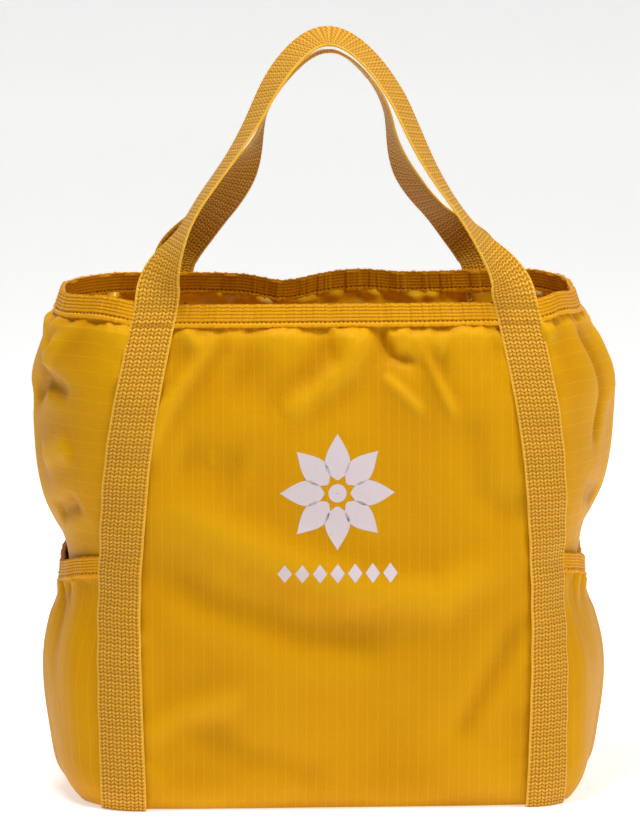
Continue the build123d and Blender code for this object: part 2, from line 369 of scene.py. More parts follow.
class Nodes:
    """A short way to write a node material."""

    def __init__(self, name):
        self.material = bpy.data.materials.new(name)
        self.material.use_nodes = True
        self.tree = self.material.node_tree
        self.tree.nodes.clear()

    def add(self, kind, inputs=None, **settings):
        node = self.tree.nodes.new(kind)
        for key, value in settings.items():
            setattr(node, key, value)
        for key, value in (inputs or {}).items():
            self.join(value, node.inputs[key])
        return node

    def join(self, value, socket):
        if isinstance(value, bpy.types.NodeSocket):
            self.tree.links.new(value, socket)
        elif isinstance(value, bpy.types.Node):
            self.tree.links.new(value.outputs[0], socket)
        else:
            socket.default_value = value

    def math(self, operation, *values, clamp=False):
        node = self.tree.nodes.new("ShaderNodeMath")
        node.operation = operation
        node.use_clamp = clamp
        for index, value in enumerate(values):
            self.join(value, node.inputs[index])
        return node.outputs[0]

    def plus(self, a, b):
        return self.math("ADD", a, b)

    def times(self, a, b, clamp=False):
        return self.math("MULTIPLY", a, b, clamp=clamp)

    def mix(self, share, a, b):
        node = self.tree.nodes.new("ShaderNodeMix")
        node.data_type = "RGBA"
        self.join(share, node.inputs[0])
        self.join(a, node.inputs[6])
        self.join(b, node.inputs[7])
        return node.outputs[2]

    def flat(self):
        """Across and up the flattened fabric, in metres."""
        attribute = self.add("ShaderNodeAttribute", attribute_name="flat")
        split = self.add("ShaderNodeSeparateXYZ", {0: attribute.outputs["Vector"]})
        return split.outputs[0], split.outputs[1], attribute.outputs["Vector"]

    def noise(self, vector, scale, detail=2.0):
        inputs = {"Vector": vector, "Scale": scale, "Detail": detail}
        return self.add("ShaderNodeTexNoise", inputs).outputs[0]

    def grain(self, scale, detail=2.0):
        """Noise by place, for small parts."""
        return self.noise(self.add("ShaderNodeTexCoord").outputs["Object"], scale, detail)

    def stripe(self, coordinate, pitch, width):
        """1 on thin lines at every pitch, and 0 between."""
        share = self.math("PINGPONG", self.math("DIVIDE", coordinate, pitch), 0.5)
        return self.math("SUBTRACT", 1.0, self.math("DIVIDE", share, width / pitch), clamp=True)

    def humps(self, coordinate, pitch):
        """Rounded humps from 0 to 1 at every pitch."""
        angle = self.math("MULTIPLY", coordinate, math.pi / pitch)
        return self.math("ABSOLUTE", self.math("SINE", angle))

    def finish(self, colour, roughness, height=None, distance=0.0002, sheen=0.2, **extra):
        inputs = {"Base Color": colour, "Roughness": roughness, "Sheen Weight": sheen}
        inputs["Sheen Roughness"] = 0.4
        inputs["Sheen Tint"] = (1.0, 0.6, 0.02, 1)
        inputs["Specular IOR Level"] = 0.3
        inputs["Specular Tint"] = (1.0, 0.7, 0.15, 1)
        if height is not None:
            bump_inputs = {"Height": height, "Distance": distance, "Strength": 1.0}
            inputs["Normal"] = self.add("ShaderNodeBump", bump_inputs)
        inputs.update(extra)
        shader = self.add("ShaderNodeBsdfPrincipled", inputs)
        self.add("ShaderNodeOutputMaterial", {"Surface": shader.outputs[0]})
        return self.material


def srgb(r, g, b):
    """A display colour as the renderer's linear one."""
    values = [v / 255 for v in (r, g, b)]
    linear = [v / 12.92 if v <= 0.04045 else ((v + 0.055) / 1.055) ** 2.4 for v in values]
    return (*linear, 1.0)


# YELLOW_SHADE paints shade in the folds' hollows and also darkens the twill; YELLOW_LIGHT paints
# highlights on the folds' ridges and also lightens the threads and grain
YELLOW = srgb(216, 154, 0)
YELLOW_DEEP = srgb(190, 118, 0)
YELLOW_LIGHT = srgb(240, 184, 20)
YELLOW_SHADE = srgb(150, 84, 0)


def ripstop(name, main_axis, pitch):
    """Fine twill with lighter reinforcing threads, mostly one way, with painted shade in the folds'
    hollows and painted highlights on their ridges.
    """
    n = Nodes(name)
    across, up, vector = n.flat()
    main, cross = (across, up) if main_axis == "up" else (up, across)
    wander = n.noise(vector, 90.0, 3.0)
    patches = n.noise(vector, 14.0, 2.0)
    lines = n.stripe(main, pitch, 0.45 * MM)
    cross_lines = n.times(n.stripe(cross, pitch, 0.4 * MM), 0.25)
    lines = n.math("MAXIMUM", lines, cross_lines)
    twill_place = n.plus(across, n.times(up, 0.8))
    twill = n.humps(twill_place, 0.62 * MM)
    grain = n.noise(vector, 1100.0, 1.0)
    painted_fold_light = n.add("ShaderNodeAttribute", attribute_name="relief").outputs["Fac"]
    ridge = n.math("MAXIMUM", painted_fold_light, 0.0)
    hollow = n.math("MAXIMUM", n.times(painted_fold_light, -1.0), 0.0)
    colour = n.mix(patches, YELLOW_DEEP, YELLOW)
    # Painted shade in the folds' hollows and painted highlights on their ridges, from how far the
    # cloth stands above its surroundings
    colour = n.mix(n.times(hollow, 0.55), colour, YELLOW_SHADE)
    colour = n.mix(n.times(ridge, 0.35), colour, YELLOW_LIGHT)
    colour = n.mix(n.times(grain, 0.45), colour, YELLOW_LIGHT)
    colour = n.mix(n.times(twill, 0.18), colour, YELLOW_SHADE)
    colour = n.mix(n.times(lines, 0.3), colour, YELLOW_LIGHT)
    height = n.plus(n.times(twill, 0.12), n.times(grain, 0.3))
    height = n.plus(height, n.times(lines, 0.5))
    height = n.plus(height, n.times(wander, 6.0))
    roughness = n.plus(0.45, n.times(grain, 0.15))
    return n.finish(colour, roughness, height, 0.16 * MM, sheen=0.0)


def coated(name):
    """The fabric's inside: the same yellow under a thin, glossy coating with paler patches."""
    n = Nodes(name)
    vector = n.flat()[2]
    patches = n.noise(vector, 26.0, 3.0)
    grain = n.noise(vector, 900.0, 1.0)
    colour = n.mix(patches, srgb(236, 172, 6), srgb(250, 202, 30))
    pale = n.times(n.math("SUBTRACT", patches, 0.56, clamp=True), 14.0, clamp=True)
    colour = n.mix(n.times(pale, 0.7), colour, srgb(248, 222, 160))
    height = n.plus(n.times(patches, 1.2), n.times(grain, 0.08))
    shine = {"Coat Weight": 0.6, "Coat Roughness": 0.18}
    return n.finish(colour, 0.42, height, 0.6 * MM, sheen=0.05, **shine)


def weave(name, column, row):
    """Webbing: columns of floats whose rows run in small chevrons, with a corded edge; painted shade
    in the gaps and painted highlights on the floats.
    """
    n = Nodes(name)
    across, along, vector = n.flat()
    slant = n.math("PINGPONG", n.math("DIVIDE", across, column), 1.0)
    shifted = n.plus(along, n.times(slant, CHEVRON * row))
    yarn = n.math("POWER", n.humps(across, column), 0.6)
    rows = n.plus(0.62, n.times(n.humps(along, row * 2), 0.38))
    height = n.math("POWER", n.times(yarn, n.humps(shifted, row)), 0.8)
    height = n.times(height, rows)
    edge = n.math("ABSOLUTE", n.math("DIVIDE", across, WEBBING / 2))
    cord = n.plus(0.5, n.times(n.humps(along, row * 0.5), 0.45))
    height = n.math("MAXIMUM", height, n.times(n.math("GREATER_THAN", edge, 0.92), cord))
    fuzz = n.noise(vector, 1600.0, 2.0)
    patches = n.noise(vector, 35.0, 2.0)
    soft = n.plus(0.7, n.times(fuzz, 0.6))
    # Painted shade in the gaps between the floats and painted highlights on their tops, by the weave's
    # height
    painted_light_share = n.times(height, soft, clamp=True)
    colour = n.mix(painted_light_share, srgb(150, 76, 0), srgb(250, 196, 70))
    colour = n.mix(n.times(patches, 0.25), colour, srgb(208, 142, 20))
    height = n.plus(height, n.times(fuzz, 0.2))
    return n.finish(colour, 0.5, height, 0.6 * MM, sheen=0.1)


def elastic(name):
    """Gathered elastic: cords along the edge, fine threads across, and a row of needle holes, with
    painted shade in the grooves and holes and painted highlights on the cords.
    """
    n = Nodes(name)
    along, up, vector = n.flat()
    cords = n.humps(n.math("SUBTRACT", ELASTIC, up), ELASTIC * CORD_SHARE / CORDS)
    threads = n.humps(along, 0.9 * MM)
    fuzz = n.noise(vector, 1500.0, 2.0)
    patches = n.noise(vector, 60.0, 2.0)
    stitched = n.math("COMPARE", up, 3.3 * MM, 0.5 * MM)
    dots = n.math("GREATER_THAN", n.humps(along, 3.0 * MM), 0.86)
    holes = n.times(stitched, dots)
    lip = n.math("LESS_THAN", up, 2.8 * MM)
    height = n.plus(n.times(cords, 0.7), n.times(threads, 0.2))
    height = n.math("MAXIMUM", height, n.times(lip, 0.75))
    soft = n.plus(0.7, n.times(fuzz, 0.5))
    # Painted shade between the cords and threads and painted highlights on their tops, by their height
    painted_light_share = n.times(height, soft, clamp=True)
    colour = n.mix(painted_light_share, srgb(178, 100, 2), srgb(236, 172, 26))
    colour = n.mix(n.times(patches, 0.3), colour, srgb(214, 146, 10))
    # The needle holes are painted dark, as shade in them
    colour = n.mix(n.times(holes, 0.85), colour, srgb(96, 44, 2))
    height = n.math("SUBTRACT", height, holes)
    return n.finish(colour, 0.5, height, 0.35 * MM, sheen=0.0)


def thread(name):
    """Shiny sewing thread."""
    n = Nodes(name)
    fuzz = n.grain(2500.0)
    colour = n.mix(fuzz, srgb(200, 134, 18), srgb(246, 200, 84))
    return n.finish(colour, 0.45, fuzz, 0.1 * MM, sheen=0.3)


def ink(name):
    """Soft lilac print that the fabric's threads show through."""
    n = Nodes(name)
    across, _, vector = n.flat()
    grain = n.noise(vector, 1300.0, 2.0)
    worn = n.noise(vector, 160.0, 3.0)
    lines = n.stripe(across, 7 * MM, 0.45 * MM)
    share = n.times(n.math("GREATER_THAN", worn, 0.68), 0.12)
    colour = n.mix(grain, srgb(198, 184, 190), srgb(224, 212, 216))
    colour = n.mix(share, colour, YELLOW)
    height = n.plus(grain, n.times(lines, 0.6))
    return n.finish(colour, 0.6, height, 0.1 * MM, sheen=0.1)


def metal(name, light, dark, rough):
    """Worn metal with fine scratches."""
    n = Nodes(name)
    wear, scratches = n.grain(400.0, 3.0), n.grain(3000.0)
    colour = n.mix(wear, dark, light)
    roughness = n.plus(rough, n.times(scratches, 0.2))
    return n.finish(colour, roughness, scratches, 0.02 * MM, sheen=0.0, Metallic=1.0)


def plastic(name):
    """Moulded plastic with a faint mottle."""
    n = Nodes(name)
    mottle = n.grain(700.0)
    colour = n.mix(mottle, srgb(206, 138, 14), srgb(226, 164, 34))
    return n.finish(colour, 0.35, mottle, 0.03 * MM, sheen=0.0)


def floor_material():
    """A pale, matt floor and wall."""
    n = Nodes("floor")
    colour = n.mix(n.grain(3.0), (0.86, 0.86, 0.86, 1), (0.9, 0.9, 0.9, 1))
    glow = {"Emission Color": (1, 1, 1, 1), "Emission Strength": 0.5}
    return n.finish(colour, 0.7, None, sheen=0.0, **glow)


PANEL = ripstop("ripstop_panel", "up", 7 * MM)
GUSSET = ripstop("ripstop_gusset", "round", 8.8 * MM)
INSIDE = coated("coated_inside")
COLUMN, ROW, CHEVRON = 2.5 * MM, 2.6 * MM, 0.55
STRAP = weave("webbing", COLUMN, ROW)
TAPE = weave("zip_tape", 0.9 * MM, 0.8 * MM)
RIB = elastic("elastic")
THREAD = thread("thread")
INK = ink("print_ink")
BRASS = metal("zip_brass", srgb(214, 186, 128), srgb(166, 132, 78), 0.25)
PLASTIC = plastic("zip_plastic")


# Where the folds run on each wall: points across and up from its middle, width and height, in mm
FOLDS = {
    "front": (
        (((-77, 333), (-116, 281), (-131, 247)), 6, 3.5),
        (((-106, 333), (-92, 316)), 5, 2.5),
        (((-75, 310), (-41, 290), (-5, 300)), 20, -4),
        (((20, 332), (6, 306), (-38, 275)), 9, 5),
        (((26, 332), (37, 313), (54, 308)), 4, -5),
        (((50, 326), (76, 318)), 9, 4.5),
        (((30, 302), (60, 275)), 4, 2.6),
        (((57, 320), (81, 271)), 4, 2.8),
        (((-130, 214), (-92, 204), (-38, 180), (16, 158), (70, 152), (121, 178)), 17, 6),
        (((-130, 180), (-89, 152), (-24, 128), (43, 120)), 15, -4.5),
        (((-110, 250), (-60, 240)), 16, -2.5),
        (((130, 140), (108, 98), (80, 45)), 9, -2.6),
        (((-135, 50), (-106, 70), (-60, 84)), 10, 2.4),
        (((-100, 62), (-60, 40), (0, 20)), 14, -2.4),
        (((128, 200), (100, 225), (92, 280)), 13, -2.6),
    ),
    "back": (
        (((-90, 330), (-118, 270)), 7, 3.5),
        (((10, 330), (40, 290), (90, 265)), 8, 4),
        (((-20, 325), (-45, 280)), 5, -4),
        (((-125, 190), (-60, 165), (20, 160), (118, 195)), 18, 5),
        (((-100, 120), (-20, 100), (60, 118)), 16, -4),
        (((-120, 60), (-70, 85)), 6, 3),
        (((120, 120), (80, 60)), 5, -3),
    ),
    "left": (
        (((8, 338), (38, 303), (52, 322)), 6, 5),
        (((64, 282), (34, 292), (6, 272)), 7, -6),
        (((60, 250), (20, 238)), 9, 4),
        (((-20, 330), (-36, 270)), 8, -5),
        (((58, 214), (22, 200)), 7, -4),
    ),
    "right": (
        (((-56, 330), (-40, 280), (-44, 245)), 6, -5),
        (((-30, 325), (-20, 270)), 7, 4),
        (((20, 330), (36, 270)), 8, -5),
        (((-50, 218), (-10, 205)), 8, -4),
    ),
}

# The four walls

BAND_FOOT = RIM_Z - ELASTIC
WALL_ROWS = 200
wall_share = np.linspace(0, 1, WALL_ROWS) ** 0.85
wall_z = 0.4 * MM + (RIM_Z - 1.2 * MM) * wall_share


def wall_run(zone, z):
    """Where a wall starts and ends round the body at each height, left to right from outside."""
    front, back = seam_front(z), seam_back(z)
    runs = {
        "front": (-front, front),
        "right": (front, back),
        "back": (back, 2 * half_round(z) - back),
        "left": (-back, -front),
    }
    return runs[zone]


def wall_place(zone, across, z):
    """Distance round the body for a share across a wall, and distance to the nearer seam."""
    start, end = wall_run(zone, z)
    s = start + across * (end - start)
    return s, np.minimum(across, 1 - across) * (end - start)


def hollow_limit(x, z):
    """The front panel keeps clear of the pouch and its zip behind it."""
    over_zip = ease((100 * MM - np.abs(x)) / (14 * MM))
    over_zip = over_zip * ease((26 * MM - np.abs(z - ZIP_Z)) / (12 * MM))
    pouch = ease((96 * MM - np.abs(x)) / (14 * MM)) * ease((ZIP_Z - z) / (12 * MM))
    pouch = pouch * ease((z - 108 * MM) / (12 * MM))
    room = np.minimum(9 * MM - 8.3 * MM * over_zip, 9 * MM - 7.4 * MM * pouch)
    return -room


def wall_push(zone, across, z):
    """How far the cloth stands out from the smooth body."""
    s, seam = wall_place(zone, across, z)
    start, end = wall_run(zone, z)
    middle = s - (start + end) / 2
    loose = ease((seam - 9 * MM) / (24 * MM)) * ease(z / (30 * MM))
    below = BAND_FOOT - z
    under = ease((below + 1 * MM) / (5 * MM))
    push = 3.2 * MM * slow_waves(s, z) * loose * under
    seed = {"front": 5, "back": 8, "left": 11, "right": 14}[zone]
    near_seam = ease((seam - 8 * MM) / (8 * MM))
    pleats = gathers(middle, below, seed, 26 * MM, 34 * MM)
    fine = gathers(middle, below, seed + 1, 9 * MM, 9 * MM)
    push = push + (5.5 * MM * pleats + 2.6 * MM * fine) * near_seam * under
    push = push + 1.6 * MM * under * ease(1 - below / (20 * MM)) * near_seam
    puckers = gathers(z, seam - 9 * MM, seed + 2, 13 * MM, 9 * MM)
    push = push + 1.2 * MM * puckers * ease((seam - 9 * MM) / (3 * MM)) * ease(below / (20 * MM))
    puff = 4.5 * np.exp(-np.clip(below, 0, None) / (60 * MM)) * ease(below / (9 * MM))
    push = push + puff * MM * near_seam
    if zone in ("front", "back"):
        sag = np.sin(math.pi * np.clip(z / BAND_FOOT, 0, 1)) * np.sin(math.pi * across)
        push = push + 5.0 * MM * sag
    else:
        turn = 1 if zone == "left" else -1
        crease = middle * turn - 6 * MM
        ridge = 5.0 * MM * np.exp(-np.abs(crease) / (9 * MM)) * ease((z - POCKET_Z) / (40 * MM))
        push = push + ridge * loose * ease((below - 10 * MM) / (40 * MM))
        push = push * ease((z - POCKET_Z - 2 * MM) / (18 * MM))
    for points, width, depth in FOLDS[zone]:
        push = push + fold(middle, z, points, width, depth) * near_seam * under
    if zone == "front":
        push = np.maximum(push, hollow_limit(middle, z))
    return push


def rim_drop(zone, across):
    """The rim dips between the straps and rises round the gussets."""
    dips = {"front": 0.5, "back": 1.5, "left": -1.0, "right": -1.0}
    wave = np.sin(math.pi * across) ** 2
    ripple = 0.3 * np.sin(3 * math.pi * across) * np.sin(math.pi * across)
    drop = dips[zone] * MM * (wave + ripple) - RIM_RISE
    if zone in ("left", "right"):
        near_front = across if zone == "right" else 1 - across
        drop = drop - 4.5 * MM * np.exp(-(((near_front - 0.17) / 0.13) ** 2))
    if zone == "back":
        drop = drop + 5.0 * MM * np.exp(-(((across - 0.64) / 0.09) ** 2))
        drop = drop - 2.5 * MM * np.exp(-(((across - 0.4) / 0.1) ** 2))
    return drop


def relief(push):
    """How much each point of a grid stands above its surroundings: -1 in a hollow, 1 on a ridge."""
    reach = 7
    wide = push
    for _ in range(2):
        padded = np.pad(wide, reach, mode="edge")
        total = np.cumsum(np.cumsum(np.pad(padded, ((1, 0), (1, 0))), axis=0), axis=1)
        size = 2 * reach + 1
        rows = total[size:] - total[:-size]
        wide = (rows[:, size:] - rows[:, :-size]) / size**2
    return np.clip((push - wide) / (1.6 * MM), -1, 1)


def add_painted_fold_light(piece, push):
    """Keeps the relief on a sheet's vertices, for its material to paint shade in the hollows and
    highlights on the ridges.
    """
    values = np.tile(relief(push).ravel(), 2)
    attribute = piece.data.attributes.new("relief", "FLOAT", "POINT")
    attribute.data.foreach_set("value", values.astype(np.float32))


def wall_grid(zone, columns, z):
    """Points of a wall with its folds, its flattened coordinates and its normals."""
    across, height = np.meshgrid(np.linspace(0.0, 1.0, columns), z)
    s, _ = wall_place(zone, across, height)
    smooth = around(height, s)
    normal = outward(smooth)
    start, end = wall_run(zone, height)
    middle = s - (start + end) / 2
    push = wall_push(zone, across, height)
    points = smooth + normal * push[..., None]
    points[..., 2] -= rim_drop(zone, across) * ease((height - 0.2) / (RIM_Z - 0.2))
    return points, np.stack([middle, height], -1), normal


walls = {}
for zone, columns, material in (
    ("front", 190, PANEL),
    ("back", 190, PANEL),
    ("left", 150, GUSSET),
    ("right", 150, GUSSET),
):
    points, flat, _ = wall_grid(zone, columns, wall_z)
    walls[zone] = points
    node = f"{zone}_panel" if zone in ("front", "back") else f"{zone}_gusset"
    piece = sheet(f"{node}_cloth", points, flat, inner=INSIDE)
    add_painted_fold_light(piece, wall_push(zone, *np.meshgrid(np.linspace(0, 1, columns), wall_z)))
    paint(piece, material, INSIDE)
    sew_to(piece, "front" if zone == "front" else "back", node)


# The base, a stiffer panel sewn inside the walls' foot


def base_piece():
    """A flat sheet with the foot's outline."""
    columns, rows = 150, 70
    across, deep = np.meshgrid(np.linspace(-1, 1, columns), np.linspace(-1, 1, rows))
    half_width, half_depth, r = (float(v) for v in outline(np.array(1.0 * MM)))
    roundness = 1 - r / half_depth * 0.29
    x = across * np.sqrt(1 - 0.5 * (1 - roundness) * deep**6 * (half_depth / half_width)) * half_width
    y = deep * half_depth
    corner_x = np.clip(np.abs(x) - (half_width - r), 0, r) / r
    y = y * (half_depth - r + r * np.sqrt(1 - np.clip(corner_x, 0, 0.999) ** 2)) / half_depth
    x, y = x * 0.992 - sway(y, half_depth), y * 0.985
    lift = 0.8 * MM + 0.3 * MM * slow_waves(x * 3, y * 3)
    points = np.stack([x, y, np.clip(lift, 0.3 * MM, 1.6 * MM)], -1)[::-1]
    flat = np.stack([x, y], -1)[::-1]
    return sheet("base_panel_cloth", points, flat, inner=INSIDE)


sew_to(paint(base_piece(), GUSSET, INSIDE), "back", "base_panel")


# Gathered elastic, folded over an edge

BAND_ROWS = 46
BAND_THICK = 0.9 * MM


def band_profile():
    """Down the outside, over the fold and up the inside: height below the fold, side and swell."""
    down = np.linspace(ELASTIC, 0.6 * MM, BAND_ROWS)
    share = down / ELASTIC
    cords = 0.55 * np.abs(np.sin(math.pi * CORDS * share / CORD_SHARE)) ** 0.7
    lip = 0.75 * np.sqrt(np.clip(1 - ((share - 0.91) / 0.09) ** 2, 0, 1))
    swell = np.where(share < CORD_SHARE, cords, np.where(share > 0.82, lip, -0.15)) * MM
    turn = np.linspace(math.pi * 0.12, math.pi * 0.88, 6)
    outer = np.stack([down, np.full(BAND_ROWS, BAND_THICK) + swell], -1)
    over = np.stack([0.6 * MM - 0.9 * MM * np.sin(turn), BAND_THICK * np.cos(turn)], -1)
    inner = np.stack([down[::-1], -BAND_THICK - CLOTH - 0.4 * swell[::-1]], -1)
    return np.concatenate([outer, over, inner])


def binding(name, surface, run, seed, hidden=0.0):
    """Elastic folded over a cloth edge. surface(down) gives the cloth's line and normals there."""
    local = np.random.default_rng(seed)
    pucker = np.zeros(run.shape)
    for size, pitch in ((0.5, 7.3), (0.4, 4.1), (0.25, 2.6)):
        phase = local.uniform(0, 6.28)
        bend = 1.3 * np.sin(run * 90)
        pucker = pucker + size * np.sin(2 * math.pi * run / (pitch * MM) + phase + bend)
    swing = np.zeros(run.shape)
    for pitch in (17.0, 29.0):
        swing = swing + np.sin(2 * math.pi * run / (pitch * MM) + local.uniform(0, 6.28))
    edge = np.minimum(run - run[0], run[-1] - run) + hidden
    open_edge = ease((edge - 14 * MM) / (6 * MM))  # flat where a strap lies over it
    profile = band_profile()
    points = np.zeros((len(profile), len(run), 3))
    flat = np.zeros((len(profile), len(run), 2))
    for k, (down, out) in enumerate(profile):
        line, normal = surface(max(down, 0.0))
        free = 1 - np.clip(down / ELASTIC, 0, 1)
        push = out + pucker * 0.3 * MM * (1 if out > 0 else -1) + swing * 0.4 * MM
        push = push if out <= 0 else 0.6 * MM + (push - 0.6 * MM) * open_edge
        push = np.maximum(push, 0.3 * MM) if out > 0 else np.minimum(push, -1.35 * MM)
        points[k] = line + normal * push[:, None]
        points[k, :, 2] += pucker * 0.35 * MM * free**2 + max(-down, 0.0)
        points[k, :, 2] -= pucker * 0.3 * MM * (1 - free) ** 3
        flat[k, :, 0] = run
        flat[k, :, 1] = ELASTIC - down
    return paint(tube(name, points[::-1], flat[::-1]), RIB)


def length_along(line):
    """Distance along a line, from its middle."""
    run = run_along(line)
    return run - run[-1] / 2


def rim_surface(zone, count, down):
    """The cloth's line round one wall at a distance below its folded edge, and its normals."""
    top = RIM_Z - 1.2 * MM - down
    across, height = np.meshgrid(np.linspace(0, 1, count), np.array([top - MM, top, top + MM]))
    s, _ = wall_place(zone, across, height)
    smooth = around(height, s)
    normal = outward(smooth)[1]
    line = smooth[1] + normal * 0.5 * MM
    line[:, 2] -= rim_drop(zone, across[1]) * ease((top - 0.2) / (RIM_Z - 0.2))
    return line, normal


BAND_COLUMNS = {"front": 520, "back": 500, "left": 430, "right": 430}
for seed, (zone, count) in enumerate(BAND_COLUMNS.items()):

    def surface(down, zone=zone, count=count):
        return rim_surface(zone, count, down)

    run = length_along(surface(0.0)[0])
    rim_band = binding(f"mouth_elastic_{zone}_ribbed", surface, run, 60 + seed)
    sew_to(rim_band, "front" if zone == "front" else "back", f"mouth_elastic_{zone}")


# Webbing

FOOT_Z = RIM_Z + 0.2 * MM  # the straps end and the handles start here
SIDE_NAMES = {-1: "left", 1: "right"}


def webbing_section(columns=52):
    """The outline of the webbing's section: distances across it, and from its middle layer."""
    across = np.linspace(-0.5, 0.5, columns) * WEBBING
    edge = 1 - np.clip((np.abs(across) - WEBBING * 0.46) / (WEBBING * 0.04), 0, 1) ** 2 * 0.6
    top = WEBBING_THICK / 2 * edge
    return np.concatenate([across, across[::-1]]), np.concatenate([top, -top])


def weave_height(across, along):
    """The webbing's floats, as the material draws them: rows of small chevrons."""
    slant = np.abs((across / COLUMN) % 2 - 1) * CHEVRON * ROW
    yarn = np.abs(np.sin(math.pi * across / COLUMN)) ** 0.6
    stitch = np.abs(np.sin(math.pi * (along + slant) / ROW))
    return np.clip(yarn * stitch, 0, 1) ** 0.7


def webbing_face(x, y, along):
    """How far each point of the webbing's surface is from its middle layer."""
    rib = weave_height(x[:, None], along[None, :])
    rib = np.where(np.abs(x)[:, None] > 0.45 * WEBBING, 0.75, rib) * 0.28 * MM
    return y[:, None] + np.sign(y)[:, None] * rib


def webbing_tube(name, points, x, along):
    """A strap from its surface points, with its flattened coordinates."""
    flat = np.zeros((len(x), len(along), 2))
    flat[..., 0] = x[:, None]
    flat[..., 1] = along[None, :]
    return paint(tube(name, points, flat), STRAP)


def webbing_bar(name, middle, across_way, out_way, along):
    """A flat strap from its middle line, its widthwise directions and its outward ones."""
    x, y = webbing_section()
    through = webbing_face(x, y, along)
    points = middle[None] + across_way[None] * x[:, None, None] + out_way[None] * through[..., None]
    return webbing_tube(name, points, x, along)


def strap_base(side, face, z, across):
    """The smooth body under a sewn strap, by distance across it and height, and its normals."""
    seam = seam_front(z) if face == "front" else seam_back(z)
    s = side * seam[None, :] + across[:, None]
    base = around(np.broadcast_to(z, s.shape), s)
    normal = -outward(base)
    inward = np.sum(normal * base * [1, 1, 0], -1, keepdims=True) < 0
    return base, np.where(inward, -normal, normal)


def strap_middle(side, face, z):
    """The middle of a sewn strap's thickness at each height."""
    base, normal = strap_base(side, face, z, np.array([-MM, 0.0, MM]))
    return base[1] + normal[1] * (STRAP_LIFT + WEBBING_THICK / 2)


def sewn_strap(side, face):
    """One strap, sewn over its seam from the base to the rim."""
    z = np.linspace(0.6 * MM, FOOT_Z, 620)
    x, y = webbing_section()
    base, normal = strap_base(side, face, z, x)
    ripple = 0.6 * MM * np.sin(2 * math.pi * z / (31 * MM) + side) * np.sin(math.pi * z / FOOT_Z)
    lift = STRAP_LIFT + WEBBING_THICK / 2 + webbing_face(x, y, z) + ripple[None, :]
    node = f"{face}_{SIDE_NAMES[side]}_strap"
    piece = webbing_tube(f"{node}_webbing", base + normal * lift[..., None], x, z)
    return sew_to(piece, face, node)


for face in ("front", "back"):
    for side in (-1, 1):
        sewn_strap(side, face)


# Handles

LEAN_POWER = 2.2
HANDLE_RISE = 6 * MM
HANDLE_COLUMNS = 860
FOOT_RUN = 24 * MM  # the loop takes this long to leave the strap's own direction
# One leg of each loop's middle line, out from the bag's middle and up, to the crown
FRONT_ARCH = MM * np.array(
    ((118.5, 371), (106.5, 395), (93, 418), (74.5, 443), (52.5, 475), (32, 507), (0, 527))
)
BACK_ARCH = MM * np.array(
    ((106, 363), (94, 379), (69, 408), (55, 435), (43, 467), (24, 499), (0, 515))
)
# The front legs' turn about their length: share of the loop's height, degrees
LEFT_TURN = ((0, 0), (0.12, 30), (0.27, 76), (0.42, 86), (0.58, 84), (0.8, 72), (1, 72))
RIGHT_TURN = ((0, 0), (0.12, 34), (0.28, 76), (0.42, 82), (0.62, 72), (0.82, 70), (1, 72))


def front_turn(u, x):
    """How far the front loop has turned about its length at a share of its height, in degrees."""
    u = np.clip(u, 0, 1)
    left = natural_cubic(*np.array(LEFT_TURN, float).T, u)
    right = natural_cubic(*np.array(RIGHT_TURN, float).T, u)
    return np.where(x < 0, left, right)


def back_turn(u, x):
    """The same for the back loop."""
    leg = np.where(x < 0, 38, 58)
    return leg * ease((u - 0.04) / 0.26) + (84 - leg) * ease((u - 0.4) / 0.3)


def handle_path(face, arch, crown_y, lean_x, right_tuck):
    """The loop's middle line, evenly spaced, going on from the line of its two sewn straps."""
    side_y = -1 if face == "front" else 1
    rim_x = FRONT_RIM_X if face == "front" else BACK_RIM_X
    strap = strap_middle(-1, face, FOOT_Z - np.array([24, 12, 0]) * MM)
    top_z = arch[-1, 1]
    arch = np.vstack([[[rim_x - 0.5 * MM, FOOT_Z + HANDLE_RISE]], arch])
    share = ((arch[:, 1] - FOOT_Z) / (top_z - FOOT_Z)) ** LEAN_POWER
    rim_y = abs(strap[-1, 1])
    depth = side_y * (rim_y - (rim_y - crown_y) * share)
    left = np.vstack([strap, np.stack([-arch[:, 0], depth, arch[:, 1]], -1)])
    guide = np.concatenate([left, left[-2::-1] * [-1, 1, 1]])
    chord = run_along(guide)
    path = natural_cubic(chord, guide, np.linspace(chord[2], chord[-3], 3000))
    path[:, 0] += lean_x * np.clip((path[:, 2] - FOOT_Z) / (top_z - FOOT_Z), 0, 1)
    tuck = ease((path[:, 2] - FOOT_Z) / (75 * MM)) * ease((490 * MM - path[:, 2]) / (70 * MM))
    path[:, 0] -= right_tuck * tuck * (path[:, 0] > 0)
    run = run_along(path)
    even = np.linspace(0, run[-1], HANDLE_COLUMNS)
    return np.stack([np.interp(even, run, path[:, k]) for k in range(3)], -1), even


def handle(face, arch, crown_y, lean_x, right_tuck, turn):
    """A loop of webbing over its middle line: turned along its legs, and level at its feet."""
    side_y = -1 if face == "front" else 1
    middle, even = handle_path(face, arch, crown_y, lean_x, right_tuck)
    along = unit(np.gradient(middle, axis=0))
    flat_way = unit(np.cross([0, 1, 0], along))
    edge_way = np.cross(along, flat_way)
    height_share = (middle[:, 2] - FOOT_Z) / (arch[-1, 1] - FOOT_Z)
    angle = np.radians(turn(height_share, middle[:, 0] - lean_x * height_share))[:, None]
    across = flat_way * np.cos(angle) + edge_way * np.sin(angle) * side_y
    level = np.zeros(across.shape)
    level[:, 0] = np.sign(along[:, 2])
    free = ease(np.minimum(even, even[-1] - even) / FOOT_RUN)[:, None]
    across = unit(level * (1 - free) + across * free)
    out = unit(np.cross(across, along))
    piece = webbing_bar(f"{face}_handle_webbing", middle, across, out, even + FOOT_Z)
    stand_in(piece, f"{face}_handle")
    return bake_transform(piece)


handle("front", FRONT_ARCH, 5 * MM, -3 * MM, 11 * MM, front_turn)
handle("back", BACK_ARCH, 7 * MM, -2 * MM, 6 * MM, back_turn)


# Side pockets


